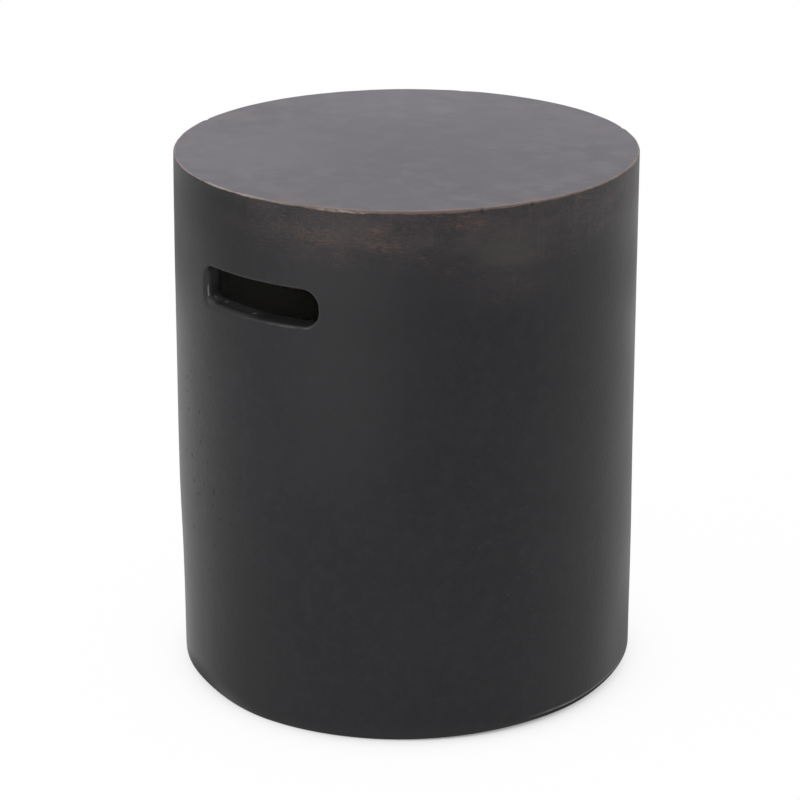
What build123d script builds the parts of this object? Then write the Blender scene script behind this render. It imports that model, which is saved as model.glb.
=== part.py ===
"""Outdoor drum side table in lightweight cast concrete.

A cast tube with a finger slot on two opposite sides carries a cast round top. A spigot under the top
centres it in the tube, and an adhesive bed behind the tube's rim holds it down. Four rubber pads are let
into the tube's foot ledge, and a screw in a nylon plug holds each of them.

Sizes are in millimetres. +Z is up, and the origin is on the floor, on the axis of the drum. The finger
slots face -Y and +Y.
"""

import os

from build123d import *

# Drum wall
overall_height = 465.0
drum_diameter = 400.0
wall_thickness = 18.0
base_edge_radius = 4.0
floor_gap = 0.5  # the pads hold the concrete this far off the floor
ledge_fillet_radius = 12.0

# Top and its joint to the wall
top_thickness = 24.0
top_edge_radius = 2.0
spigot_depth = 8.0
spigot_chamfer = 2.0
spigot_clearance = 1.0
rim_land_width = 8.0  # the outer part of the rim, which the top rests on
bond_thickness = 3.0
bond_clearance = 0.2

# Finger slots
slot_length = 120.0
slot_height = 30.0
slot_end_flat = 6.0  # the straight part of each end, between its two round corners
slot_drop = 71.0  # from the top face down to the upper edge of the slot
slot_lip_radius = 2.5

# Feet: pad, screw and plug
foot_count = 4
first_foot_angle = 45.0
foot_margin = 10.0  # concrete inside and outside a pad's pocket
pad_diameter = 30.0
pad_edge_radius = 1.0
pad_web = 3.5  # rubber between the screw's head and the concrete
pocket_clearance = 0.5
screw_shank_diameter = 4.5
screw_length = 25.0
screw_head_overhang = 2.25
screw_head_height = 3.0
screw_head_edge_radius = 1.2
screw_head_inset = 1.5  # the head stays this far above the floor
screw_clearance = 0.1
head_clearance = 0.4
cross_length = 5.0
cross_width = 1.1
cross_depth = 1.6
plug_wall = 1.75
plug_collar_length = 5.0
plug_slit_width = 1.0
plug_spare_depth = 3.5  # the plug is this much longer than the screw needs
plug_clearance = 0.1
plug_cover = 4.5  # concrete above the plug

# Sizes that follow from those above
outer_radius = drum_diameter / 2
wall_inner_radius = outer_radius - wall_thickness
rim_height = overall_height - top_thickness
bond_seat_height = rim_height - bond_thickness
bond_seat_radius = outer_radius - rim_land_width
spigot_radius = wall_inner_radius - spigot_clearance

slot_corner_radius = (slot_height - slot_end_flat) / 2
slot_centre_height = overall_height - slot_drop - slot_height / 2

pad_thickness = screw_head_inset + screw_head_height + pad_web
pocket_radius = pad_diameter / 2 + pocket_clearance
pocket_depth = pad_thickness - floor_gap
ledge_inner_radius = outer_radius - 2 * (foot_margin + pocket_radius)
foot_circle_radius = outer_radius - foot_margin - pocket_radius

screw_radius = screw_shank_diameter / 2
screw_hole_radius = screw_radius + screw_clearance
screw_head_radius = screw_radius + screw_head_overhang
screw_head_seat = screw_head_inset + screw_head_height
screw_tip_chamfer = screw_radius / 2
plug_radius = screw_hole_radius + plug_wall
plug_length = screw_length - pad_web + plug_spare_depth
ledge_height = pad_thickness + plug_length + plug_cover

# One plane on the floor under each foot
foot_places = PolarLocations(foot_circle_radius, foot_count, first_foot_angle)
foot_planes = [Plane(place) for place in foot_places]

os.makedirs("parts", exist_ok=True)

# Drum wall: the tube with its foot ledge, rim step, finger slots, pad pockets and plug holes
with BuildPart() as drum_wall:
    with BuildSketch(Plane.XZ):
        with BuildLine():
            Polyline(
                (ledge_inner_radius, floor_gap),
                (outer_radius, floor_gap),
                (outer_radius, rim_height),
                (bond_seat_radius, rim_height),
                (bond_seat_radius, bond_seat_height),
                (wall_inner_radius, bond_seat_height),
                (wall_inner_radius, ledge_height),
                (ledge_inner_radius, ledge_height),
                close=True,
            )
        make_face()
    revolve(axis=Axis.Z)

    rings = drum_wall.edges().filter_by(GeomType.CIRCLE)
    base_ring = rings.group_by(Axis.Z)[0].sort_by(SortBy.RADIUS)[-1]
    ledge_rings = rings.filter_by_position(Axis.Z, ledge_height, ledge_height)
    fillet(base_ring, base_edge_radius)
    fillet(ledge_rings.sort_by(SortBy.RADIUS)[-1], ledge_fillet_radius)

    with BuildSketch(Plane.XZ):
        with Locations((0, slot_centre_height)):
            RectangleRounded(slot_length, slot_height, slot_corner_radius)
    extrude(amount=drum_diameter, both=True, mode=Mode.SUBTRACT)
    slot_lips = edges(Select.LAST).filter_by(Axis.Y, reverse=True)
    fillet(slot_lips, slot_lip_radius)

    with Locations(*[-plane.offset(floor_gap) for plane in foot_planes]):
        CounterBoreHole(
            radius=plug_radius + plug_clearance,
            counter_bore_radius=pocket_radius,
            counter_bore_depth=pocket_depth,
            depth=pocket_depth + plug_length,
        )
drum_wall.part.label = "drum_wall"
export_step(drum_wall.part, "parts/drum_wall.step")

# Table top: a disc with a softened upper edge, and the spigot that centres it in the wall
with BuildPart() as table_top:
    with BuildSketch(Plane.XY.offset(rim_height)):
        Circle(outer_radius)
    extrude(amount=top_thickness)
    fillet(table_top.edges().group_by(Axis.Z)[-1], top_edge_radius)
    with BuildSketch(Plane.XY.offset(rim_height)):
        Circle(spigot_radius)
    extrude(amount=-spigot_depth)
    chamfer(table_top.edges().group_by(Axis.Z)[0], spigot_chamfer)
table_top.part.label = "table_top"
export_step(table_top.part, "parts/table_top.step")

# Top bond: the adhesive bed in the step behind the rim
with BuildPart() as top_bond:
    with BuildSketch(Plane.XY.offset(bond_seat_height)):
        Circle(bond_seat_radius - bond_clearance)
        Circle(wall_inner_radius, mode=Mode.SUBTRACT)
    extrude(amount=bond_thickness)
top_bond.part.label = "top_bond"
export_step(top_bond.part, "parts/top_bond.step")

# Feet: each has a rubber pad, the screw through it and the plug that the screw bites in
for number, foot_plane in enumerate(foot_planes, start=1):
    with BuildPart() as foot_pad:
        with BuildSketch(foot_plane):
            Circle(pad_diameter / 2)
        extrude(amount=pad_thickness)
        fillet(foot_pad.edges().group_by(Axis.Z)[0], pad_edge_radius)
        with Locations(-foot_plane):
            CounterBoreHole(
                radius=screw_hole_radius,
                counter_bore_radius=screw_head_radius + head_clearance,
                counter_bore_depth=screw_head_seat,
            )
    foot_pad.part.label = f"foot_pad_{number}"
    export_step(foot_pad.part, f"parts/foot_pad_{number}.step")

    with BuildPart() as pad_screw:
        with BuildSketch(foot_plane.offset(screw_head_inset)):
            Circle(screw_head_radius)
        extrude(amount=screw_head_height)
        fillet(pad_screw.edges().group_by(Axis.Z)[0], screw_head_edge_radius)
        with BuildSketch(foot_plane.offset(screw_head_seat)):
            Circle(screw_radius)
        extrude(amount=screw_length)
        chamfer(pad_screw.edges().group_by(Axis.Z)[-1], screw_tip_chamfer)
        with BuildSketch(foot_plane.offset(screw_head_inset)):
            Rectangle(cross_length, cross_width)
            Rectangle(cross_width, cross_length)
        extrude(amount=cross_depth, mode=Mode.SUBTRACT)
    pad_screw.part.label = f"pad_screw_{number}"
    export_step(pad_screw.part, f"parts/pad_screw_{number}.step")

    with BuildPart() as wall_plug:
        with BuildSketch(foot_plane.offset(pad_thickness)):
            Circle(plug_radius)
            Circle(screw_hole_radius, mode=Mode.SUBTRACT)
        extrude(amount=plug_length)
        with BuildSketch(foot_plane.offset(pad_thickness + plug_collar_length)):
            Rectangle(2 * plug_radius, plug_slit_width)
        extrude(amount=plug_length - plug_collar_length, mode=Mode.SUBTRACT)
    wall_plug.part.label = f"wall_plug_{number}"
    export_step(wall_plug.part, f"parts/wall_plug_{number}.step")
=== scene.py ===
"""Looks of a drum side table in cast concrete with a charcoal satin coat.

The wall and the top are modelled again as fine meshes with the waviness and the worn edges of a hand-made
casting. The bond, the pads, the screws and the plugs keep their solids and get a finish.

Lengths are in metres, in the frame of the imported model: +Z is up, the floor is at zero, and the finger slots
face -Y and +Y. Azimuths are in degrees, from -Y towards +X.
"""

import math
from functools import partial, reduce

import bmesh
import bpy
import numpy as np
from mathutils import Euler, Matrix, Quaternion, Vector, noise


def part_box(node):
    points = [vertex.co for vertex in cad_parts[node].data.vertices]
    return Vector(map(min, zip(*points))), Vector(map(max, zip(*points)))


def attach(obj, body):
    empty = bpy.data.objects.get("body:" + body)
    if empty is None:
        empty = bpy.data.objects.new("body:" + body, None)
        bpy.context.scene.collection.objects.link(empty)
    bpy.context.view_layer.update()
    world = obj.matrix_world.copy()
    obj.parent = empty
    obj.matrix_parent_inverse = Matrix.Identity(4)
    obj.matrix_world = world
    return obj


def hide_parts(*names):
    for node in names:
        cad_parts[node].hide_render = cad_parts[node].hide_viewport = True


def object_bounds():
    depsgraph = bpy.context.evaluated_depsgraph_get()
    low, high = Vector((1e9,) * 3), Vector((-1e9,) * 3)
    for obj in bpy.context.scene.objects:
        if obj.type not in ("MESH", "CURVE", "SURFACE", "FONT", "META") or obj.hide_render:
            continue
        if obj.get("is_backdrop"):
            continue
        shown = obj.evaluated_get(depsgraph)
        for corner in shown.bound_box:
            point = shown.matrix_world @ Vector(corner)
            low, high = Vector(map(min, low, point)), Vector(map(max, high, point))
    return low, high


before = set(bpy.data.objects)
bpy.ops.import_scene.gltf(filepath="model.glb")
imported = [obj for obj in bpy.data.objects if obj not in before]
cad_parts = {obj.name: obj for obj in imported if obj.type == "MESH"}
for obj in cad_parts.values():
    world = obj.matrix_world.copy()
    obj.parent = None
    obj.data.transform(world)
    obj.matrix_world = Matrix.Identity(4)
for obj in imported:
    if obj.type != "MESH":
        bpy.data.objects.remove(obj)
cad_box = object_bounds()

# Sizes that the frame gives
wall_low, wall_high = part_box("drum_wall")
top_low, top_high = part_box("table_top")
pad_low, pad_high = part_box("foot_pad_1")
plug_low, plug_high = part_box("wall_plug_1")
outer_radius = top_high.x
overall_height = top_high.z
rim_height = wall_high.z
base_height = wall_low.z
bond_seat_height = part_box("top_bond")[0].z
spigot_height = top_low.z
feet = range(1, 5)

# Sizes of the castings that the boxes don't give
wall_inner_radius = outer_radius - 0.018
bond_seat_radius = outer_radius - 0.008
ledge_inner_radius = outer_radius - 0.051
ledge_height = 0.0375
ledge_fillet_radius = 0.012
spigot_radius = wall_inner_radius - 0.001
spigot_chamfer = 0.002
pocket_clearance = 0.0005
plug_clearance = 0.0001
base_edge_depth = 0.0016
base_edge_height = 0.008

# Finger slots
slot_half_length = 0.060
slot_half_height = 0.0155
slot_drop = 0.071  # from the top face down to a slot's opening
slot_centre_height = overall_height - slot_drop - slot_half_height
upper_corner_radii = (0.006, 0.014)  # left and right end, seen from outside
lower_corner_radii = (0.007, 0.013)
slot_lip_radius = 0.0018
lower_lip_radius = 0.0022  # at the right end
wide_lip_radius = 0.0076  # at the left end
lip_taper = 1.2  # how fast the lower lip narrows to the right
lip_ease = 0.010  # the wide lip eases to the plain one over this distance
overspray = 0.006  # the coat reaches this far past a slot, on the inside of the wall
base_overspray = 0.014  # and this far in under the base edge
slot_zone = 0.024  # the wall's grid eases from the round slot to straight rows over this distance

# Grid of the wall
lip_steps = 4
wide_lip_steps = 9
inner_lip_steps = 1
zone_steps = 3
slot_columns = 54
slot_rows = 18
tunnel_rings = 5
base_edge_steps = 16
fillet_steps = 6
ledge_steps = 4
ledge_side_steps = 5
underside_steps = 8
side_columns = 128
outer_row_height = 0.0044
inner_row_height = 0.0160

# Grid of the top, of round holes and of the floor
disc_cells = 180
disc_radius = outer_radius - 0.0045
arris_rows = 9
rim_rows = 9
circle_steps = 64
circle_turns = np.linspace(0, 2 * math.pi, circle_steps + 1)[:-1]
sharp_angle = math.radians(40)

# Margins of the tests below
tiny = 1e-9  # keeps a division clear of zero
close = 1e-4  # places this near each other count as one
face_margin = 1e-3  # the centre of a flat face lies less than this off the round wall
level_normal = 0.9  # a face whose normal rises or falls more than this lies level

# Hand-made surface: how far the casting lies inside the true drum
wave_lengths = (0.110, 0.032)
wave_depths = (0.0004, 0.00014)
mean_depth = 0.0002
belly_turn = 50.0
left_belly = (-47.0, 0.200, 0.115)  # azimuth, height and reach
right_belly = (123.0, 0.100, 0.060)
belly_depth = 0.0006
shoulder_azimuth = -47.0  # the wall leans in here below the upper edge
shoulder_depth = 0.0018
shoulder_height = 0.075
foot_depth = 0.0013  # and here above the base
foot_height = 0.190
foot_fade = 0.110

# Worn upper edge
arris_radius = 0.0015
arris_change = 0.0007
arris_change_length = 0.018
nick_azimuths = (56.1, 68.9, 146.0, 203.0, 281.0)
nick_widths = (0.0024, 0.0030, 0.0030, 0.0040, 0.0026)
nick_depths = (0.0024, 0.0016, 0.0018, 0.0014, 0.0020)

# Lips of the slots: pale lines, partly worn coat and partly painted highlight, and a painted highlight on the
# left end's lip
break_length = 0.007  # the pale lines are broken over about this length
break_start = 0.35
break_span = 0.30
broken_share = 0.15  # what is left of a line in a break
lip_line_reach = 0.0005
lip_line_place = 0.80  # in lip radii from the slot's opening
lip_line_start = -0.020  # the lower lip's pale line runs from here to the right
lip_line_ease = 0.050
lip_line_end = 0.059
lip_line_end_ease = 0.006
lower_lip_wear_and_glint = 0.26
upper_lip_wear_and_glint = 0.10
end_glint_place = 0.0018  # a painted highlight lies on the left end's lip this far outside the opening
end_glint_reach = 0.0004
end_glint_length = 0.005
end_glint_span = (0.002, 0.013)  # below the slot's middle
end_glint_ease = 0.003

# Painted shade in the slots, painted light on the left end, and a paler left half of the sill
lip_shade_depth = 0.0016  # painted shade in a slot starts this far in
end_shade_depth = 0.0300  # and at the left end from here, higher up
low_end_shade_depth = 0.0220  # and lower down
low_end_height = -0.008  # above the slot's middle
low_end_ease = 0.010
shade_ease = 0.040
sill_drop = 0.010  # the sill begins this far below the slot's middle
sill_ease = 0.004
left_sill_end = 0.010  # its left half goes this far past the slot's middle
left_sill_ease = 0.024
sill_shade = 0.35  # the left half of the sill gets less painted shade, and is painted a little paler
# the left half of the sill is painted a little paler
pale_sill_share = 0.11
pale_sill_start = 0.004  # behind the lip
pale_sill_ease = 0.006
painted_end_light = 0.40  # painted light: the left end is painted paler, by these shares at these depths
painted_end_light_depths = (0.0, 0.0006, 0.007, 0.012, 0.020)
painted_end_light_shares = (0.0, 0.12, 0.60, 1.0, 0.0)
painted_end_light_length = 0.007
low_end_light_share = 0.75  # lower down it gets less of that painted light
low_end_light_height = -0.7  # in half heights above the slot's middle

# Worn base edge, and a pale line over its lifted part with painted shade under the line
worn_base_azimuth = -24.0  # the base edge is rounder here
worn_base_turn = 26.0
worn_base_depth = 0.0036
worn_base_height = 0.014
lifted_bases = ((92.0, 66.0, 0.0040), (114.0, 34.0, 0.0045))  # azimuth, turn and height off the floor
lifted_base_fade = 0.030
lifted_seat_share = 0.5  # half of the lift is left at the radius of the bond's seat
base_line_azimuth = 89.0  # a pale line above the lifted edge, partly worn coat and partly painted highlight
base_line_turn = 21.0
base_line_height = 0.0046
base_line_width = 0.0008
base_line_ease = 0.0010
# painted shade in the strip under the pale line
base_line_shade = 0.60


def around(azimuth, distance, height):
    """A point at this azimuth, this far from the axis."""
    turn = math.radians(azimuth)
    return (distance * math.sin(turn), -distance * math.cos(turn), height)


def on_side(azimuth, height):
    """A point on the drum's side."""
    return around(azimuth, outer_radius, height)


def below_edge(azimuth, drop):
    """A point on the drum's side, this far below the top face."""
    return on_side(azimuth, overall_height - drop)


def in_front_slot(across, up, depth):
    """A point this far along the front slot, above its middle and in from the wall's face."""
    return (across, -math.sqrt((outer_radius - depth) ** 2 - across**2), slot_centre_height + up)


# Places where the coat differs, each with its half width and half height
# Painted highlights: whitish glints on the arris, where it catches the light
arris_glint_patch = (below_edge(24, 0.0), 0.044, 0.010)
soft_arris_glint = (below_edge(-10, 0.0), 0.095, 0.010)
wide_arris = (below_edge(48, 0.0), 0.260, 0.010)
unrubbed_band = (below_edge(-24, 0.030), 0.160, 0.400)
wide_band = (below_edge(64, 0.046), 0.085, 0.055)
faint_weave = (below_edge(64, 0.046), 0.160, 0.160)
shaded_top = (around(38, 0.050, overall_height), 0.260, 0.260)
pitted_side = (on_side(-21, 0.215), 0.110, 0.150)
flecked_side = (on_side(65, 0.140), 0.10, 0.14)

# Groups of such places, each with the half width and half height that its places share
stains = ((below_edge(18, 0.026), below_edge(33, 0.028), below_edge(53, 0.011)), 0.032, 0.012)
bright_bands = ((below_edge(24, 0.018), below_edge(63, 0.034)), 0.052, 0.026)
pale_tops = ((around(-40, 0.135, overall_height), around(218, 0.150, overall_height)), 0.120, 0.120)
# painted shade in the nicks of the arris
nick_distance = outer_radius - 0.001
nick_height = overall_height - 0.0025
nicks = ([around(azimuth, nick_distance, nick_height) for azimuth in nick_azimuths], 0.0028, 0.0028)
chip_places = (
    in_front_slot(-0.0574, -0.0140, 0.0088),
    in_front_slot(-0.0447, -0.0155, 0.0115),
    in_front_slot(-0.0060, -0.0155, 0.0078),
)
chips = (chip_places, 0.0030, 0.0026)

# Places on the side: azimuth, height, half width, half height and strength
# Painted light: the side is painted paler where a soft highlight falls on its upper left, and along the base
# edge, whose lower curve gets little light
painted_side_light_places = (
    (23, 0.350, 0.090, 0.220, 0.68),
    (22, 0.405, 0.100, 0.038, 0.60),
    (38, 0.000, 0.200, 0.016, 0.50),
)
# Painted shade: the side is painted darker where less light falls on it, under the arris, and near the base
# where it would reflect the floor's shadow
painted_side_shade_places = (
    (-22, 0.415, 0.110, 0.095, 0.85),
    (-16, 0.050, 0.120, 0.220, 0.50),
    (-33, 0.400, 0.060, 0.090, 0.55),
    (-8, 0.440, 0.080, 0.040, 0.35),
    (-15, overall_height - 0.010, 0.070, 0.016, 0.60),
    (-22, 0.030, 0.080, 0.070, 0.55),
    (-16, 0.345, 0.060, 0.060, 0.30),
    (93, 0.050, 0.080, 0.100, 0.35),
    (105, 0.250, 0.090, 0.330, 0.62),
    (104, 0.385, 0.070, 0.050, 0.50),
)
duller_places = (
    (-46, 0.395, 0.100, 0.090, 0.19),
    (116, 0.375, 0.080, 0.060, 0.09),
    (116, 0.190, 0.080, 0.200, 0.05),
    (-28, 0.003, 0.066, 0.020, 0.34),
    (116, 0.020, 0.060, 0.090, 0.14),
)

# Colours of the coat
coat_colours = ((0.0138, 0.0135, 0.0156), (0.0161, 0.0158, 0.0181))
mottle_colour = (0.0205, 0.02, 0.0222)
streak_colour = (0.024, 0.0235, 0.0235)
grain_colour = (0.025, 0.0243, 0.026)
# painted light on the side
painted_side_light_colour = (0.031, 0.0305, 0.0325)
# painted shade on the side
painted_side_shade_colour = (0.004, 0.0038, 0.004)
fleck_colour = (0.048, 0.047, 0.046)
# the top is painted paler than the side, partly its own tone and partly painted light from above
top_colours = ((0.05, 0.042, 0.06), (0.082, 0.0725, 0.095))
swirl_colour = (0.1, 0.088, 0.111)
drift_colour = (0.1, 0.078, 0.0815)
shaded_top_colour = (0.04, 0.0335, 0.047)
pale_top_colour = (0.105, 0.093, 0.112)
band_colours = ((0.0265, 0.0245, 0.028), (0.0465, 0.0385, 0.0405))
weave_colour = (0.073, 0.06, 0.0565)
bright_band_colour = (0.08, 0.0695, 0.066)
speck_colour = (0.11, 0.101, 0.095)
drip_colour = (0.095, 0.064, 0.052)
stain_colour = (0.125, 0.074, 0.056)
arris_colours = ((0.19, 0.136, 0.112), (0.14, 0.098, 0.085))  # where it is narrow and where it is wide
# painted highlight: the whitish glints on the arris
arris_glint_colour = (0.4, 0.345, 0.305)
# painted shade in the nicks
nick_shade_colour = (0.012, 0.011, 0.011)
# pale worn coat, chips, painted highlights and painted light share this colour
wear_and_light_colour = (0.21, 0.2, 0.2)
# painted shade in the slots and under the base line
painted_slot_and_strip_shade_colour = (0.004, 0.004, 0.004)
# painted shade in the pits
pit_shade_colour = (0.0035, 0.0035, 0.0035)
white = (1.0, 1.0, 1.0)


class Nodes:
    """A node tree, with a short call for each kind of node that the looks below need."""

    def __init__(self, tree):
        self.tree = tree

    def feed(self, socket, value):
        if isinstance(value, bpy.types.NodeSocket):
            self.tree.links.new(value, socket)
        elif socket.type == "RGBA":
            socket.default_value = (*value, 1.0)
        else:
            socket.default_value = value

    def add(self, kind, inputs=None, **settings):
        """A new node. Inputs gives what feeds each of its sockets, by name or number."""
        node = self.tree.nodes.new(kind)
        for name, value in settings.items():
            setattr(node, name, value)
        for name, value in (inputs or {}).items():
            self.feed(node.inputs[name], value)
        return node

    def math(self, operation, first, second):
        return self.add("ShaderNodeMath", {0: first, 1: second}, operation=operation).outputs[0]

    def times(self, *values):
        return reduce(partial(self.math, "MULTIPLY"), values)

    def plus(self, *values):
        return reduce(partial(self.math, "ADD"), values)

    def most(self, *values):
        return reduce(partial(self.math, "MAXIMUM"), values)

    def vector(self, operation, first, second):
        node = self.add("ShaderNodeVectorMath", {0: first, 1: second}, operation=operation)
        return node.outputs["Vector"]

    def length(self, vector):
        return self.add("ShaderNodeVectorMath", {0: vector}, operation="LENGTH").outputs["Value"]

    def fade(self, value, start, end):
        """0 up to start, 1 from end, and smooth in between. Start may be the larger of the two."""
        inputs = {"Value": value, "From Min": min(start, end), "From Max": max(start, end)}
        inputs.update({"To Min": float(start > end), "To Max": float(start < end)})
        return self.add("ShaderNodeMapRange", inputs, interpolation_type="SMOOTHSTEP").outputs["Result"]

    def between(self, value, low, high):
        """Low where value is 0 and high where it is 1."""
        inputs = {"Value": value, "To Min": low, "To Max": high}
        return self.add("ShaderNodeMapRange", inputs).outputs["Result"]

    def mix(self, factor, first, second):
        return self.add("ShaderNodeMix", {0: factor, 6: first, 7: second}, data_type="RGBA").outputs[2]

    def over(self, colour, second, *shares):
        """A colour with a second one laid over it, by the product of these shares."""
        return self.mix(self.times(*shares), colour, second)

    def seen_white(self):
        """1 for the rays that show the surroundings to the camera, directly or in a reflection."""
        path = self.add("ShaderNodeLightPath").outputs
        return self.most(path["Is Camera Ray"], path["Is Glossy Ray"], path["Is Transmission Ray"])


class Finish(Nodes):
    """A material's nodes, with clouds, spots and patches in object coordinates."""

    seed_steps = (13.7, 7.3, 3.1)  # from one seed to the next, along X, Y and Z
    spot_edge = (1.2, 0.7)  # a spot fades in from the first to the second, in spot sizes

    def __init__(self, name, ior):
        self.material = bpy.data.materials.new(name)
        self.material.use_nodes = True
        super().__init__(self.material.node_tree)
        self.shader = self.tree.nodes["Principled BSDF"]
        self.shader.inputs["IOR"].default_value = ior
        self.place = self.add("ShaderNodeTexCoord").outputs["Object"]

    def kept(self, name):
        """An attribute that the mesh keeps for its material."""
        return self.add("ShaderNodeAttribute", attribute_type="GEOMETRY", attribute_name=name).outputs

    def stretched(self, across, tall, seed):
        """Object coordinates in these lengths. Each seed starts at a place of its own."""
        start = tuple(step * seed for step in self.seed_steps)
        inputs = {"Vector": self.place, "Scale": (1 / across, 1 / across, 1 / tall), "Location": start}
        return self.add("ShaderNodeMapping", inputs).outputs["Vector"]

    def patch(self, place, half_width, half_height):
        """1 at a place and 0 from this far away, smooth in between."""
        offset = self.vector("SUBTRACT", self.place, place)
        share = self.vector("DIVIDE", offset, (half_width, half_width, half_height))
        return self.fade(self.length(share), 1.0, 0.0)

    def patches(self, places, half_width, half_height):
        """The largest of the patches at several places."""
        return self.most(*[self.patch(place, half_width, half_height) for place in places])

    def strong_patches(self, places, *shares):
        """The patch at each of several places on the side, times these shares and its own strength."""
        for azimuth, height, half_width, half_height, strength in places:
            patch = self.patch(on_side(azimuth, height), half_width, half_height)
            yield self.times(patch, *shares, strength)

    def cloud(self, across, tall=None, detail=3, roughness=0.55, seed=0):
        """Noise from 0 to 1 whose patches are about this wide and this tall."""
        place = self.stretched(across, tall or across, seed)
        inputs = {"Vector": place, "Scale": 1.0, "Detail": detail, "Roughness": roughness}
        return self.add("ShaderNodeTexNoise", inputs).outputs["Fac"]

    def spots(self, across, tall=None, *, size, share, seed):
        """1 in uneven spots. Their size is in spacings, and share is how many places have one."""
        tall = tall or across
        cells = self.add("ShaderNodeTexVoronoi", {"Vector": self.stretched(across, tall, seed), "Scale": 1.0})
        chance = self.add("ShaderNodeSeparateColor", {"Color": cells.outputs["Color"]}).outputs["Red"]
        uneven = self.between(self.cloud(across / 3, tall / 3, seed=seed), -size, size)
        distance = self.plus(cells.outputs["Distance"], uneven)
        start, end = self.spot_edge
        inside = self.fade(distance, start * size, end * size)
        return self.times(inside, self.fade(chance, 1 - share, 1.01 - share))

    def bump(self, height, depth):
        node = self.add("ShaderNodeBump", {"Height": height, "Strength": 1.0, "Distance": depth})
        self.feed(self.shader.inputs["Normal"], node.outputs["Normal"])

    def finish(self, colour, roughness):
        self.feed(self.shader.inputs["Base Color"], colour)
        self.feed(self.shader.inputs["Roughness"], roughness)
        return self.material


def charcoal_coat():
    """Charcoal satin coat: cloudy on top, rubbed brown below the upper edge and worn through at the edges,
    with painted light and painted shade on the side, the top, the arris and in the slots.
    """
    coat = Finish("charcoal_coat", ior=1.275)
    cloud, fade, between, mix, over = coat.cloud, coat.fade, coat.between, coat.mix, coat.over
    times, plus, most, patch, patches = coat.times, coat.plus, coat.most, coat.patch, coat.patches
    true_place = coat.kept("true_place")["Vector"]
    height = coat.add("ShaderNodeSeparateXYZ", {0: true_place}).outputs["Z"]
    from_axis = coat.length(coat.vector("MULTIPLY", true_place, (1.0, 1.0, 0.0)))
    below_top = coat.math("SUBTRACT", overall_height, height)
    from_side = coat.math("SUBTRACT", outer_radius, from_axis)
    widely_worn = patch(*wide_arris)
    at_glint = patch(*arris_glint_patch)
    down_side = times(below_top, between(widely_worn, 2.2, 0.8), between(at_glint, 1.0, 0.55))
    across_face = times(from_side, between(widely_worn, 0.85, 0.35))
    from_arris = most(down_side, across_face)
    top_share = fade(below_top, 0.001, 0.0002)
    side_share = coat.math("SUBTRACT", 1.0, top_share)

    # The coat itself, with broad clouds, a finer mottle, faint streaks down the wall, a grain, painted light
    # at a few places on the side, and flecks
    clouds = cloud(0.09, detail=4, seed=1)
    mottle = cloud(0.012, detail=4, seed=2)
    grain = cloud(0.0025, seed=18)
    streaks = cloud(0.004, 0.15, detail=2, seed=3)
    colour = mix(fade(clouds, 0.35, 0.65), *coat_colours)
    colour = over(colour, mottle_colour, fade(mottle, 0.4, 0.7), 0.52)
    colour = over(colour, streak_colour, fade(streaks, 0.5, 0.75), 0.1)
    colour = over(colour, grain_colour, fade(grain, 0.45, 0.7), 0.24)
    # Painted light: paler places on the side stand in for a soft highlight and for light on the base edge
    for paler in coat.strong_patches(painted_side_light_places):
        colour = mix(paler, colour, painted_side_light_colour)
    flecks = coat.spots(0.0045, size=0.16, share=0.5, seed=10)
    clusters = fade(cloud(0.022, detail=2, seed=20), 0.42, 0.6)
    colour = over(colour, fleck_colour, flecks, clusters, patch(*flecked_side), 0.65)

    # Top face: cooler, with brownish drifts, and painted paler than the side, partly its own tone and partly
    # painted light from above
    pale = mix(fade(clouds, 0.32, 0.68), *top_colours)
    swirls = cloud(0.024, detail=4, roughness=0.6, seed=15)
    pale = over(pale, swirl_colour, fade(swirls, 0.4, 0.68), 0.8)
    drift = fade(cloud(0.055, detail=4, seed=16), 0.5, 0.7)
    near_rim = between(fade(from_side, 0.07, 0.01), 0.25, 0.85)
    pale = over(pale, drift_colour, drift, near_rim)
    pale = over(pale, shaded_top_colour, patch(*shaded_top), 0.45)
    pale = over(pale, pale_top_colour, patches(*pale_tops), 0.45)
    colour = mix(top_share, colour, pale)

    # Rubbed band under the upper edge: brown and slate ground with canvas-like dashes, threads and specks
    ragged = times(cloud(0.05, 0.03, seed=4), 0.024)
    rub = times(fade(plus(below_top, ragged), 0.072, 0.03), side_share)
    rub = most(rub, times(patch(*wide_band), side_share, 0.7))
    dull = times(rub, 0.1)
    rub = times(rub, between(patch(*unrubbed_band), 1.0, 0.2))
    ground = fade(cloud(0.03, 0.014, detail=4, seed=14), 0.28, 0.72)
    dash = fade(cloud(0.006, 0.001, seed=5), 0.48, 0.68)
    thread = fade(cloud(0.001, 0.006, seed=6), 0.5, 0.7)
    weave = most(dash, times(thread, 0.8))
    weave = times(weave, between(patch(*faint_weave), 1.0, 0.4))
    specks = coat.spots(0.0075, size=0.08, share=0.4, seed=11)
    colour = over(colour, mix(ground, *band_colours), rub, 0.9)
    colour = over(colour, weave_colour, rub, weave, 0.65)
    colour = over(colour, bright_band_colour, patches(*bright_bands), 0.36)
    colour = over(colour, speck_colour, rub, specks, 0.4)

    # Faint drips and orange-brown patches in the band
    drips = fade(cloud(0.006, 0.045, seed=19), 0.56, 0.74)
    colour = over(colour, drip_colour, drips, rub, 0.22)
    stained = fade(cloud(0.03, 0.012, detail=4, seed=7), 0.52, 0.68)
    stained = most(times(stained, rub), patches(*stains))
    broken_stain = cloud(0.006, 0.0012, detail=4, roughness=0.65, seed=17)
    broken_stain = fade(broken_stain, 0.48, 0.62)
    colour = over(colour, stain_colour, stained, side_share, broken_stain, 0.6)

    # Painted shade: places on the side painted darker where less light falls on it, under the arris, and near
    # the base where it would reflect the floor's shadow
    for darker in coat.strong_patches(painted_side_shade_places, side_share):
        colour = mix(darker, colour, painted_side_shade_colour)

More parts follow.
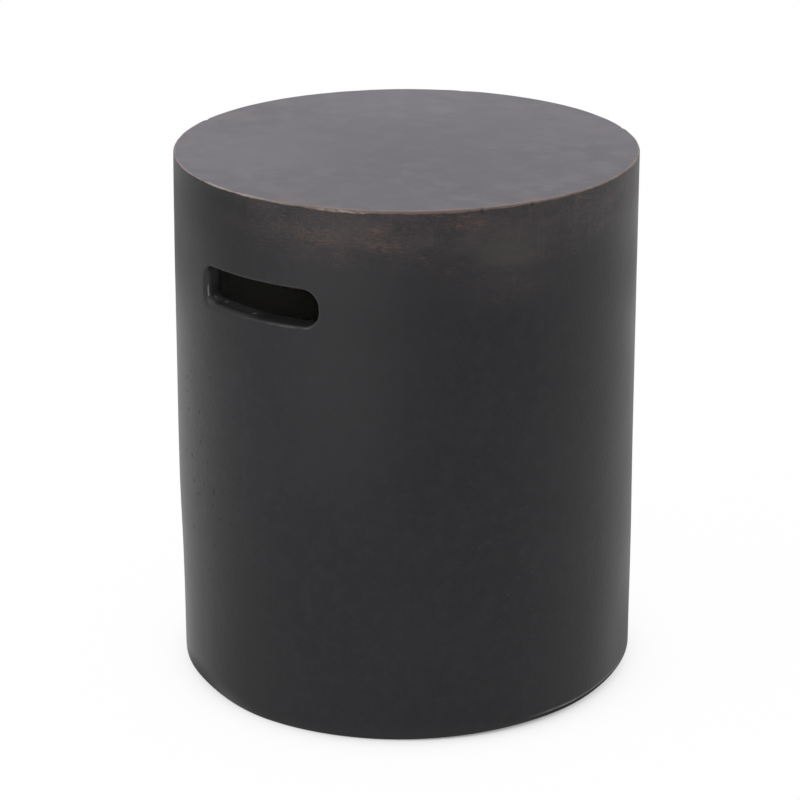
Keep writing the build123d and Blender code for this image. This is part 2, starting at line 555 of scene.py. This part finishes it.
    # Worn arris with painted whitish glints and painted shade in its nicks; slot lips, slot ends, sill and
    # base line painted paler, partly worn coat and partly painted light
    broken = cloud(0.012, detail=5, roughness=0.65, seed=8)
    reach = plus(from_arris, between(broken, 0.0018, -0.0024))
    reach = plus(reach, times(at_glint, -0.0006), times(widely_worn, -0.0004))
    worn = fade(reach, 0.0017, 0.0003)
    # Painted highlight: whitish glints on the worn arris, where it catches the light
    arris_glint = fade(cloud(0.006, 0.0015, detail=5, seed=12), 0.42, 0.64)
    arris_glint = times(between(arris_glint, 0.05, 0.9), at_glint, fade(below_top, 0.0001, 0.0007))
    arris_glint = most(arris_glint, times(patch(*soft_arris_glint), 0.6))
    tan = mix(arris_glint, mix(widely_worn, *arris_colours), arris_glint_colour)
    colour = over(colour, tan, worn, 0.9)
    # painted shade in the nicks of the arris
    colour = over(colour, nick_shade_colour, patches(*nicks), 0.9)
    # pale worn coat, painted highlights and painted light at the slots and the base line
    colour = mix(coat.kept("wear_and_painted_light")["Fac"], colour, wear_and_light_colour)

    # Painted shade in the slots and under the base line, dull there too, with chips, and dull where it is
    # rubbed or matt
    painted_slot_and_strip_shade = coat.kept("painted_slot_and_strip_shade")["Fac"]
    colour = over(colour, painted_slot_and_strip_shade_colour, painted_slot_and_strip_shade, 0.8)
    colour = over(colour, wear_and_light_colour, patches(*chips), 0.55)
    dull = plus(dull, *coat.strong_patches(duller_places, side_share))
    roughness = plus(between(clouds, 0.33, 0.43), times(painted_slot_and_strip_shade, 0.55), dull)

    # Fine relief, and upright pits on one side, painted dark inside as painted shade
    relief = cloud(0.004, detail=5, roughness=0.6, seed=9)
    pits = coat.spots(0.0075, 0.012, size=0.15, share=0.6, seed=13)
    pits = times(pits, side_share, patch(*pitted_side))
    colour = over(colour, pit_shade_colour, pits, 0.7)
    roughness = plus(roughness, times(pits, 0.28))
    coat.bump(plus(relief, times(pits, -0.5)), 0.00018)
    return coat.finish(colour, roughness)


def raw_concrete():
    """Bare cast concrete inside the drum and underneath: grey, sandy and full of small blow holes, painted
    dark inside as painted shade.
    """
    cement = Finish("raw_concrete", ior=1.45)
    clouds = cement.cloud(0.06, detail=5, seed=11)
    sand = cement.cloud(0.0016, roughness=0.7, seed=12)
    holes = cement.spots(0.008, size=0.12, share=0.25, seed=14)
    colour = cement.mix(cement.fade(clouds, 0.35, 0.65), (0.3, 0.292, 0.28), (0.4, 0.388, 0.37))
    colour = cement.mix(cement.fade(sand, 0.45, 0.7), colour, (0.46, 0.445, 0.42))
    # painted shade in the blow holes
    colour = cement.over(colour, (0.07, 0.068, 0.065), holes, 0.7)
    cement.bump(cement.plus(sand, cement.times(holes, -2.0)), 0.0006)
    return cement.finish(colour, cement.between(sand, 0.85, 0.97))


def pad_rubber():
    """Black rubber with a fine moulded grain and a little dust."""
    rubber = Finish("pad_rubber", ior=1.5)
    grain = rubber.cloud(0.0008, detail=2, seed=21)
    dust = rubber.fade(rubber.cloud(0.01, detail=4, seed=22), 0.45, 0.75)
    colour = rubber.mix(dust, (0.012, 0.012, 0.012), (0.045, 0.043, 0.04))
    rubber.bump(grain, 0.0001)
    return rubber.finish(colour, rubber.between(grain, 0.6, 0.8))


def screw_zinc():
    """Zinc plate with the faint cloudiness of a tumbled finish."""
    zinc = Finish("screw_zinc", ior=1.5)
    zinc.shader.inputs["Metallic"].default_value = 1.0
    clouds = zinc.cloud(0.003, detail=4, seed=31)
    colour = zinc.mix(clouds, (0.48, 0.49, 0.51), (0.66, 0.66, 0.64))
    zinc.bump(zinc.cloud(0.0006, seed=32), 0.00003)
    return zinc.finish(colour, zinc.between(clouds, 0.25, 0.45))


def plug_nylon():
    """Pale grey moulded nylon."""
    nylon = Finish("plug_nylon", ior=1.53)
    clouds = nylon.cloud(0.004, seed=41)
    colour = nylon.mix(clouds, (0.42, 0.42, 0.41), (0.56, 0.56, 0.54))
    nylon.bump(nylon.cloud(0.0007, seed=42), 0.00005)
    return nylon.finish(colour, nylon.between(clouds, 0.4, 0.55))


def bond_adhesive():
    """Beige tile adhesive with a trowelled grain."""
    adhesive = Finish("bond_adhesive", ior=1.45)
    grain = adhesive.cloud(0.003, detail=5, roughness=0.7, seed=51)
    colour = adhesive.mix(grain, (0.3, 0.27, 0.22), (0.48, 0.44, 0.38))
    adhesive.bump(grain, 0.0004)
    return adhesive.finish(colour, adhesive.between(grain, 0.8, 0.95))


def smooth(value):
    """0 below 0, 1 above 1, and smooth in between."""
    value = np.clip(value, 0.0, 1.0)
    return value * value * (3 - 2 * value)


def bell(value):
    """1 at 0, falling to almost nothing by 2 on either side."""
    return np.exp(-(value**2))


def azimuths(points):
    """The azimuth of each point."""
    return np.degrees(np.arctan2(points[:, 0], -points[:, 1]))


def turn_from(azimuth, centre):
    """How far angles are from one angle, in degrees, from 0 to 180."""
    return np.abs((azimuth - centre + 180) % 360 - 180)


def waves(points, length):
    """Soft noise from 0 to 1 at each point."""
    values = [noise.noise(Vector(point) / length) for point in points]
    return np.clip(0.5 + 0.5 * np.array(values), 0.0, 1.0)


def waviness(points):
    """How far the waves of the casting sink below the true face."""
    depth = np.full(len(points), mean_depth)
    for length, most in zip(wave_lengths, wave_depths):
        depth += most * waves(points, length)
    return depth


def bow(points):
    """How far the wall bellies out, below zero, or leans in at each point."""
    azimuth = azimuths(points)
    height = points[:, 2]
    depth = np.zeros(len(points))
    for centre, middle, reach in (left_belly, right_belly):
        near = bell(turn_from(azimuth, centre) / belly_turn)
        depth -= belly_depth * near * bell((height - middle) / reach)
    near = bell(turn_from(azimuth, shoulder_azimuth) / belly_turn)
    shoulder = shoulder_depth * np.exp((height - overall_height) / shoulder_height)
    foot = foot_depth * smooth((foot_height - height) / foot_fade)
    return depth + near * (shoulder + foot)


def above_base_line(points):
    """Height of each point above the pale line over the base edge, and how clear the line is there."""
    clear = smooth(2 * (1 - turn_from(azimuths(points), base_line_azimuth) / base_line_turn))
    return points[:, 2] - base_height - base_line_height, clear


def base_wear(points):
    """How far the base edge is worn back at each point."""
    above = points[:, 2] - base_height
    near = 1 - smooth(turn_from(azimuths(points), worn_base_azimuth) / worn_base_turn)
    return worn_base_depth * near * smooth(1 - above / worn_base_height)


def base_lift(points):
    """How far the base edge is lifted off the floor at each point."""
    lift = np.zeros(len(points))
    for azimuth, turn, height in lifted_bases:
        lift += height * (1 - smooth(turn_from(azimuths(points), azimuth) / turn))
    return lift * (1 - smooth(points[:, 2] / lifted_base_fade))


def on_ring(radius, angle, height):
    """Points at these angles, which run from -Y through +X, in radians."""
    heights = np.broadcast_to(height, angle.shape)
    return np.stack([radius * np.sin(angle), -radius * np.cos(angle), heights], -1)


def ring_faces(lower, upper):
    """Quads between two closed rings of vertex numbers."""
    return np.stack([lower, np.roll(lower, -1), np.roll(upper, -1), upper], -1)


def tube_faces(rings):
    """Quads between each ring and the next."""
    return [face for near, far in zip(rings, rings[1:]) for face in ring_faces(near, far)]


def edge_loop(block):
    """The numbers round the edge of a block of vertex numbers, in order."""
    return np.concatenate([block[0, :-1], block[:-1, -1], block[-1, :0:-1], block[:0:-1, 0]])


def place_object(name, data):
    """A new object in the scene."""
    placed = bpy.data.objects.new(name, data)
    bpy.context.scene.collection.objects.link(placed)
    return placed


def make_piece(name, points, faces):
    """A closed mesh object with its normals outwards, without the points that no face uses."""
    used = np.unique(np.concatenate(faces))
    number = np.full(len(points), -1)
    number[used] = np.arange(len(used))
    mesh = bpy.data.meshes.new(name)
    mesh.from_pydata(points[used].tolist(), [], [number[face].tolist() for face in faces])
    shell = bmesh.new()
    shell.from_mesh(mesh)
    bmesh.ops.recalc_face_normals(shell, faces=shell.faces)
    shell.to_mesh(mesh)
    shell.free()
    return place_object(name, mesh)


def slot_offsets(wide_steps):
    """Distances from a slot's opening to the grid lines round it: the round lip first, then wider steps."""
    turns = np.linspace(math.pi / 2, 0, lip_steps + 1)
    lip = slot_lip_radius * (1 - np.sin(turns))
    wide_lip = np.linspace(slot_lip_radius, wide_lip_radius, wide_steps + 1)
    zone = np.geomspace(wide_lip_radius, slot_zone, zone_steps + 1)
    return np.concatenate([lip, wide_lip[1:], zone[1:]])


def slot_lines(half, cells, wide_steps):
    """Grid lines across a slot and the zone round it."""
    offsets = half + slot_offsets(wide_steps)
    inside = np.linspace(-half, half, cells + 1)[1:-1]
    return np.concatenate([-offsets[::-1], inside, offsets])


def corner_radii(across, up):
    """Radius of a slot's nearest corner."""
    upper = np.where(across < 0, *upper_corner_radii)
    lower = np.where(across < 0, *lower_corner_radii)
    return np.where(up > 0, upper, lower)


def lip_radii(across, up):
    """Radius of a slot's outer lip: wide at the left end, and narrowing along the lower edge."""
    leftwards = np.clip(0.5 - across / slot_half_length / 2, 0.0, 1.0)
    lower = lower_lip_radius + (wide_lip_radius - lower_lip_radius) * leftwards**lip_taper
    below = smooth(-up / lip_ease)
    at_end = smooth((-across - slot_half_length) / lip_ease + 1) * smooth((slot_half_height - up) / lip_ease)
    wider = np.maximum(below * (lower - slot_lip_radius), at_end * (wide_lip_radius - slot_lip_radius))
    return slot_lip_radius + wider


def round_slot(across, up, is_outer):
    """Moves grid points near a slot on to rounded outlines, and gives how deep its lip sinks there."""
    distance = np.maximum(np.abs(across) - slot_half_length, np.abs(up) - slot_half_height)
    outside = np.clip(distance, 0.0, slot_zone)
    corner = (corner_radii(across, up) + outside) * (1 - smooth(outside / slot_zone))
    core_across = np.clip(across, corner - slot_half_length - outside, slot_half_length + outside - corner)
    core_up = np.clip(up, corner - slot_half_height - outside, slot_half_height + outside - corner)
    reach = np.hypot(across - core_across, up - core_up)
    share = np.where(distance < slot_zone, corner / np.maximum(reach, tiny), 1.0)
    lip_radius = lip_radii(across, up) if is_outer else np.full(len(across), slot_lip_radius)
    rest = np.clip(lip_radius - outside, 0.0, lip_radius)
    depth = lip_radius - np.sqrt(lip_radius**2 - rest**2)
    return core_across + (across - core_across) * share, core_up + (up - core_up) * share, depth


def wall_rows(row_height, bottom, top, wide_steps):
    """Heights of the rows of a wall face: even ones below and above the slot, and the slot's own lines."""
    lines = slot_centre_height + slot_lines(slot_half_height, slot_rows, wide_steps)
    below = np.linspace(bottom, lines[0], round((lines[0] - bottom) / row_height) + 1)
    above = np.linspace(lines[-1], top, round((top - lines[-1]) / row_height) + 1)
    return np.concatenate([below, lines[1:-1], above])


def arc(centre, depth, rise, start, end, steps):
    """Points of a section's round edge as (radius, height), from start to end in degrees."""
    turns = np.radians(np.linspace(start, end, steps + 1))
    return [(centre[0] + depth * math.cos(turn), centre[1] + rise * math.sin(turn)) for turn in turns]


def straight(start, end, steps):
    """Points of a straight part of a section, after its start."""
    return [tuple(point) for point in np.linspace(start, end, steps + 1)[1:]]


def wall_section():
    """The wall's section, up the outside, over the rim, down the inside, over the ledge and back."""
    base_centre = (outer_radius - base_edge_depth, base_height + base_edge_height)
    base_end = (base_centre[0], base_height)
    fillet_centre = (wall_inner_radius - ledge_fillet_radius, ledge_height + ledge_fillet_radius)
    fillet_end = (fillet_centre[0], ledge_height)
    ledge_edge = (ledge_inner_radius, ledge_height)
    ledge_foot = (ledge_inner_radius, base_height)
    outside = wall_rows(outer_row_height, base_centre[1], rim_height, wide_lip_steps)
    inside = wall_rows(inner_row_height, fillet_centre[1], bond_seat_height, inner_lip_steps)
    section = arc(base_centre, base_edge_depth, base_edge_height, -90, 0, base_edge_steps)[:-1]
    section += [(outer_radius, height) for height in outside]
    section += [(bond_seat_radius, rim_height), (bond_seat_radius, bond_seat_height)]
    section += [(wall_inner_radius, height) for height in inside[::-1]]
    section += arc(fillet_centre, ledge_fillet_radius, ledge_fillet_radius, 0, -90, fillet_steps)[1:]
    section += straight(fillet_end, ledge_edge, ledge_steps)
    section += straight(ledge_edge, ledge_foot, ledge_side_steps)
    section += straight(ledge_foot, base_end, underside_steps)[:-1]
    return np.array(section)


def column_angles(radius, lines):
    """Angles of the wall's columns at a radius. Those at a slot keep their place along X at every radius."""
    front = np.arcsin(lines / radius)
    side = np.linspace(front[-1], math.pi - front[-1], side_columns + 1)[1:-1]
    return np.concatenate([front, side, front + math.pi, side + math.pi])


def drum_wall():
    """The tube with its two finger slots, as one grid wrapped round the drum."""
    section = wall_section()
    lines = slot_lines(slot_half_length, slot_columns, wide_lip_steps)
    beside = np.full(side_columns - 1, np.inf)
    across = np.concatenate([lines, beside, lines, beside])
    columns = len(across)
    near_slot = np.isfinite(across)
    points = np.zeros((len(section), columns, 3))
    for row, (radius, height) in enumerate(section):
        angle = column_angles(radius, lines)
        up = np.full(columns, height - slot_centre_height)
        depth = np.zeros(columns)
        is_outer = radius > (outer_radius + wall_inner_radius) / 2
        x, up[near_slot], depth[near_slot] = round_slot(across[near_slot], up[near_slot], is_outer)
        inwards = 1.0 if is_outer else -1.0
        sunk = radius - inwards * depth
        angle[near_slot] = np.arcsin(x / sunk[near_slot]) + np.repeat([0.0, math.pi], len(lines))
        points[row] = on_ring(sunk, angle, up + slot_centre_height)

    # Quads between neighbouring rows, apart from the cells of the slots
    number = np.arange(points.shape[0] * columns).reshape(points.shape[:2])
    on_wall = np.isin(section[:, 0], (outer_radius, wall_inner_radius))
    in_height = np.abs(section[:, 1] - slot_centre_height) < slot_half_height + close
    in_row = on_wall & in_height
    in_column = np.abs(across) < slot_half_length + close
    faces = []
    for row in range(len(section)):
        after = (row + 1) % len(section)
        quads = ring_faces(number[row], number[after])
        if in_row[row] and in_row[after]:
            quads = quads[~(in_column & np.roll(in_column, -1))]
        faces.extend(quads)

    # Tunnels of the slots
    outer_rows = np.flatnonzero(in_row & (section[:, 0] == outer_radius))
    inner_rows = np.flatnonzero(in_row & (section[:, 0] == wall_inner_radius))[::-1]
    points = points.reshape(-1, 3)
    first_columns = np.flatnonzero(in_column)[: slot_columns + 1]
    for own_columns in (first_columns, first_columns + columns // 2):
        outer_loop = edge_loop(number[np.ix_(outer_rows, own_columns)])
        inner_loop = edge_loop(number[np.ix_(inner_rows, own_columns)])
        rings = [outer_loop]
        for share in np.linspace(0, 1, tunnel_rings + 1)[1:-1]:
            between = points[outer_loop] * (1 - share) + points[inner_loop] * share
            rings.append(np.arange(len(points), len(points) + len(between)))
            points = np.concatenate([points, between])
        rings.append(inner_loop)
        faces += tube_faces(rings)
    return make_piece("drum_wall_casting", points, faces)


def cut_pockets(wall):
    """Cuts the pad pockets and the plug holes out of the foot ledge."""
    pocket_radius = (pad_high.x - pad_low.x) / 2 + pocket_clearance
    hole_radius = (plug_high.x - plug_low.x) / 2 + plug_clearance
    section = [(pocket_radius, -base_height), (pocket_radius, pad_high.z)]
    section += [(hole_radius, pad_high.z), (hole_radius, plug_high.z)]
    points = np.zeros((0, 3))
    faces = []
    for foot in feet:
        low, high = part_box(f"foot_pad_{foot}")
        centre = np.array([(low.x + high.x) / 2, (low.y + high.y) / 2, 0.0])
        start = len(points)
        rings = [on_ring(radius, circle_turns, height) + centre for radius, height in section]
        points = np.concatenate([points, *rings])
        numbers = start + np.arange(len(section) * circle_steps).reshape(len(section), -1)
        faces += tube_faces(numbers)
        faces += [numbers[0], numbers[-1]]
    cutter = make_piece("pocket_cutter", points, faces)
    cut = wall.modifiers.new("pockets", "BOOLEAN")
    cut.operation = "DIFFERENCE"
    cut.solver = "MANIFOLD"
    cut.object = cutter
    result = bpy.data.meshes.new_from_object(wall.evaluated_get(bpy.context.evaluated_depsgraph_get()))
    wall.modifiers.clear()
    wall.data = result
    bpy.data.objects.remove(cutter)


def disc_grid(radius):
    """An even grid of quads on a disc: its points, its faces and the numbers round its edge."""
    steps = np.linspace(-1, 1, disc_cells + 1)
    across, along = np.meshgrid(steps, steps)
    wide = np.abs(across) > np.abs(along)
    reach = np.where(wide, across, along)
    safe = np.where(np.abs(reach) < tiny, 1.0, reach)
    turn = np.where(wide, math.pi / 4 * along / safe, math.pi / 2 - math.pi / 4 * across / safe)
    points = np.stack([radius * reach * np.cos(turn), radius * reach * np.sin(turn), 0 * reach], -1)
    number = np.arange(reach.size).reshape(reach.shape)
    corners = [number[:-1, :-1], number[:-1, 1:], number[1:, 1:], number[1:, :-1]]
    return points.reshape(-1, 3), np.stack(corners, -1).reshape(-1, 4), edge_loop(number)


def arris_radii(angle):
    """The radius of the top's edge round the drum: softer in places, and broken by a few nicks."""
    places = on_ring(outer_radius, angle, 0.0)
    radii = arris_radius + arris_change * (2 * waves(places, arris_change_length) - 1)
    for azimuth, width, depth in zip(nick_azimuths, nick_widths, nick_depths):
        off = np.radians(turn_from(azimuths(places), azimuth)) * outer_radius
        radii += depth * bell(off / width)
    return radii


def table_top():
    """The top: an even disc, the worn arris, the rim and the spigot underneath."""
    upper, faces, upper_edge = disc_grid(disc_radius)
    lower, lower_faces, lower_edge = disc_grid(spigot_radius - spigot_chamfer)
    upper[:, 2] = overall_height
    lower[:, 2] = spigot_height
    angle = np.arctan2(upper[upper_edge, 0], -upper[upper_edge, 1])
    radii = arris_radii(angle)
    rings = []
    for turn in np.radians(np.linspace(90, 0, arris_rows + 1)):
        reach = outer_radius - radii + radii * math.cos(turn)
        rings.append(on_ring(reach, angle, overall_height - radii + radii * math.sin(turn)))
    for share in np.linspace(0, 1, rim_rows + 1)[1:]:
        height = (overall_height - radii) * (1 - share) + rim_height * share
        rings.append(on_ring(outer_radius, angle, height))
    rings += [
        on_ring((outer_radius + spigot_radius) / 2, angle, rim_height),
        on_ring(spigot_radius, angle, rim_height),
        on_ring(spigot_radius, angle, (rim_height + spigot_height + spigot_chamfer) / 2),
        on_ring(spigot_radius, angle, spigot_height + spigot_chamfer),
    ]
    points = np.concatenate([upper, *rings, lower])
    loops = [upper_edge]
    loops += list(len(upper) + np.arange(len(rings) * len(angle)).reshape(len(rings), -1))
    start = len(points) - len(lower)
    loops.append(start + lower_edge)
    faces = list(faces) + list(lower_faces + start) + tube_faces(loops)
    return make_piece("table_top_casting", points, faces)


def slot_places(points):
    """Each point's place along a slot, height above the slot's middle and distance from the opening."""
    across = np.where(points[:, 1] < 0, 1, -1) * points[:, 0]
    up = points[:, 2] - slot_centre_height
    corner = corner_radii(across, up)
    past = np.stack([np.abs(across) - slot_half_length, np.abs(up) - slot_half_height]) + corner
    distance = np.hypot(*np.maximum(past, 0.0)) + np.minimum(past.max(axis=0), 0.0) - corner
    return across, up, distance


def on_left_sill(across, up):
    """1 on the left half of a slot's sill and 0 elsewhere, smooth in between."""
    return smooth((-up - sill_drop) / sill_ease) * smooth((left_sill_end - across) / left_sill_ease)


def wear_and_light_marks(points):
    """How pale the coat is painted at the slots' lips and ends, on the sill and along the base line, from 0 to
    1: partly worn coat, partly painted highlights and painted light.
    """
    across, up, distance = slot_places(points)
    depth = outer_radius - np.hypot(points[:, 0], points[:, 1])
    broken = smooth((waves(points, break_length) - break_start) / break_span)
    broken = broken_share + (1 - broken_share) * broken

    # Lips, and a painted highlight on the left end's lip
    # pale lines on the lips: partly worn coat, partly painted highlight
    lip = bell((distance - lip_line_place * lip_radii(across, up)) / lip_line_reach)
    lip *= depth < slot_lip_radius + close
    along_lip = smooth((across - lip_line_start) / lip_line_ease)
    along_lip *= smooth((lip_line_end - across) / lip_line_end_ease)
    lip *= np.where(up > 0, upper_lip_wear_and_glint, lower_lip_wear_and_glint * along_lip) * broken
    glint_start, glint_end = end_glint_span
    at_left = across < -slot_half_length + end_glint_length
    at_left = at_left * smooth((-up - glint_start) / end_glint_ease) * (-up < glint_end)
    end_lip_glint = bell((distance - end_glint_place) / end_glint_reach) * at_left

    # Painted light on the left end, a paler left half of the sill, and the base line
    # painted light: the left end is painted paler where light would reach it
    on_end = (across < -slot_half_length + painted_end_light_length) * (distance < wide_lip_radius)
    end_light = painted_end_light * on_end * np.interp(depth, painted_end_light_depths, painted_end_light_shares)
    higher = smooth(up / slot_half_height - low_end_light_height)
    end_light *= low_end_light_share + (1 - low_end_light_share) * higher
    # the left half of the sill is painted a little paler
    pale_sill = pale_sill_share * on_left_sill(across, up) * (distance < slot_lip_radius)
    pale_sill *= smooth((depth - pale_sill_start) / pale_sill_ease)
    above, clear = above_base_line(points)
    # pale line over the lifted base edge: partly worn coat, partly painted highlight
    base_line = clear * bell(above / base_line_width) * (1 + broken) / 2
    return np.max([lip, end_lip_glint, end_light, pale_sill, base_line], axis=0)


def shade_in_slots_and_strip(points):
    """How much painted shade the slots and the strip under the base line get, from 0 to 1."""
    across, up, distance = slot_places(points)
    depth = outer_radius - np.hypot(points[:, 0], points[:, 1])
    leftwards = smooth(-(across + slot_half_length - shade_ease) / shade_ease)
    higher = smooth((up - low_end_height) / low_end_ease)
    end_depth = low_end_shade_depth + (end_shade_depth - low_end_shade_depth) * higher
    reach = lip_shade_depth * (end_depth / lip_shade_depth) ** leftwards
    in_slot = smooth(depth / reach) * (distance < slot_zone / 2)
    in_slot *= 1 - (1 - sill_shade) * on_left_sill(across, up)
    above, clear = above_base_line(points)
    under_line = base_line_shade * clear * smooth(-above / base_line_ease)
    return np.maximum(in_slot, under_line)


def hand_made(mesh):
    """Keeps the true places, the marks of wear and painted light, and the painted shade for the coat, then
    makes the faces uneven.
    """
    points = np.zeros(3 * len(mesh.vertices))
    mesh.vertices.foreach_get("co", points)
    mesh.attributes.new("true_place", "FLOAT_VECTOR", "POINT").data.foreach_set("vector", points)
    points = points.reshape(-1, 3)
    for name, values in (("wear_and_painted_light", wear_and_light_marks(points)), ("painted_slot_and_strip_shade", shade_in_slots_and_strip(points))):
        mesh.attributes.new(name, "FLOAT", "POINT").data.foreach_set("value", values)
    from_axis = np.maximum(np.hypot(points[:, 0], points[:, 1]), tiny)
    above_rim = np.clip((points[:, 2] - rim_height) / (overall_height - rim_height), 0.0, 1.0)
    past_seat = from_axis - bond_seat_radius
    land_width = outer_radius - bond_seat_radius
    outer_share = smooth(past_seat / (land_width - slot_lip_radius))
    outer_share = np.where(above_rim > 0, from_axis / outer_radius, outer_share)
    sunk = waviness(points)
    inwards = np.maximum(sunk + bow(points), 0.0) + base_wear(points)
    lift = base_lift(points) * smooth(past_seat / land_width + lifted_seat_share)
    points[:, :2] *= (1 - inwards * outer_share / from_axis)[:, np.newaxis]
    points[:, 2] += lift - (sunk - mean_depth) * above_rim
    mesh.vertices.foreach_set("co", points.ravel())
    mesh.update()


def wall_is_coated(face):
    """True outside, through the slots and a little way past them on the inside, and just under the base."""
    place = face.center
    past_slot = max(abs(place.x) - slot_half_length, abs(place.z - slot_centre_height) - slot_half_height)
    from_axis = math.hypot(place.x, place.y)
    if past_slot < overspray:
        return from_axis > wall_inner_radius - face_margin
    if place.z < base_height + close:
        return from_axis > outer_radius - base_overspray
    return from_axis > wall_inner_radius + face_margin and abs(face.normal.z) < level_normal


def top_is_coated(face):
    """True on the face and the edge, and not underneath."""
    return face.center.z > rim_height + close


def dress(piece, node, is_coated):
    """Gives a casting its coat outside and raw concrete elsewhere, and puts it in the node's place."""
    piece.data.materials.clear()
    piece.data.materials.append(coat_material)
    piece.data.materials.append(concrete_material)
    for face in piece.data.polygons:
        face.material_index = 0 if is_coated(face) else 1
    hand_made(piece.data)
    piece.data.shade_smooth()
    piece.data.set_sharp_from_angle(angle=sharp_angle)
    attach(piece, "root")
    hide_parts(node)


def finish_node(name, material):
    """Gives a solid that stays as it is a material."""
    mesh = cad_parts[name].data
    mesh.materials.clear()
    mesh.materials.append(material)


# Castings
coat_material = charcoal_coat()
concrete_material = raw_concrete()
wall = drum_wall()
cut_pockets(wall)
dress(wall, "drum_wall", wall_is_coated)
top = table_top()
dress(top, "table_top", top_is_coated)

# Solids that stay
foot_materials = {"foot_pad": pad_rubber(), "pad_screw": screw_zinc(), "wall_plug": plug_nylon()}
for name, material in foot_materials.items():
    for foot in feet:
        finish_node(f"{name}_{foot}", material)
finish_node("top_bond", bond_adhesive())


# Stage: a white floor that keeps the drum's shadow, white surroundings and three soft lamps
floor_radius = 14.0  # far larger than the view
floor_colour = (0.92, 0.92, 0.92)
floor_glow = 0.98
shadow_start = outer_radius - 0.015  # the floor's shadow fades outwards from here
shadow_reach = 0.016
shadow_turn = 38.0  # it is narrower at right angles to this azimuth
shadow_width = 0.95
surroundings_strength = 0.75
lamps = (  # name, azimuth, distance, height, size and power
    ("left_lamp", -30, 2.6, 1.9, 1.8, 34.0),
    ("right_lamp", 125, 2.8, 1.6, 1.8, 13.0),
    ("back_lamp", 218, 2.6, 1.5, 2.2, 2.5),
)


def white_floor():
    """A pale matt floor. The camera sees it close to white, apart from the drum's shadow at its foot."""
    floor = Finish("white_floor", ior=1.45)
    floor.finish(floor_colour, 1.0)
    floor.feed(floor.shader.inputs["Specular IOR Level"], 0.0)
    turn = (0.0, 0.0, math.radians(shadow_turn))
    inputs = {"Vector": floor.place, "Rotation": turn, "Scale": (shadow_width, 1.0, 1.0)}
    shadow_frame = floor.add("ShaderNodeMapping", inputs, vector_type="TEXTURE")
    clear = floor.math("SUBTRACT", floor.length(shadow_frame.outputs["Vector"]), shadow_start)
    clear = floor.most(clear, 0.0)
    clear = floor.times(clear, clear, clear)
    share = floor.math("DIVIDE", clear, floor.plus(clear, shadow_reach**3))
    share = floor.times(share, floor_glow, floor.seen_white())
    glow = floor.add("ShaderNodeEmission", {"Color": white}).outputs["Emission"]
    blend = floor.add("ShaderNodeMixShader", {0: share, 1: floor.shader.outputs["BSDF"], 2: glow})
    floor.feed(floor.tree.nodes["Material Output"].inputs["Surface"], blend.outputs["Shader"])
    return floor.material


floor_mesh = bpy.data.meshes.new("floor")
floor_points = on_ring(floor_radius, circle_turns, 0.0)
floor_mesh.from_pydata(floor_points.tolist(), [], [list(range(circle_steps))])
floor_mesh.materials.append(white_floor())
floor = place_object("floor", floor_mesh)
floor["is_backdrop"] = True

world = bpy.data.worlds.new("soft_surroundings")
world.use_nodes = True
bpy.context.scene.world = world
surroundings = Nodes(world.node_tree)
background = world.node_tree.nodes["Background"]
strength = surroundings.between(surroundings.seen_white(), surroundings_strength, 1.0)
surroundings.feed(background.inputs["Color"], white)
surroundings.feed(background.inputs["Strength"], strength)

# Each lamp is square and faces the middle of the drum
for name, azimuth, distance, height, size, power in lamps:
    lamp = bpy.data.lights.new(name, "AREA")
    lamp.shape = "SQUARE"
    lamp.size = size
    lamp.energy = power
    holder = place_object(name, lamp)
    holder.location = around(azimuth, distance, height)
    towards = Vector((0, 0, overall_height / 2)) - holder.location
    holder.rotation_euler = towards.to_track_quat("-Z", "Y").to_euler()
    holder.visible_camera = False

# Camera: the photo's view, worked out from the drum's outline in an image of 800 by 800 pixels
view_azimuth = 38.35
view_distance = 2.5595
view_height = 1.1587
view_pitch = 19.86
view_roll = -0.13
view_turn = 0.116  # the drum stands a little right of the middle
image_size = 800
focal_length_pixels = 3096
camera_data = bpy.data.cameras.new("camera")
camera_data.sensor_width = 36.0
camera_data.lens = focal_length_pixels / image_size * camera_data.sensor_width
camera = place_object("camera", camera_data)
camera.location = around(view_azimuth, view_distance, view_height)
aim = Euler((math.radians(90 - view_pitch), 0, math.radians(view_azimuth + view_turn))).to_quaternion()
camera.rotation_euler = (aim @ Quaternion((0, 0, 1), math.radians(view_roll))).to_euler()
bpy.context.scene.camera = camera
bpy.context.scene.view_settings.view_transform = "Standard"

boxes = {"cad": cad_box, "visual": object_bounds()}
{name: [list(corner) for corner in box] for name, box in boxes.items()}
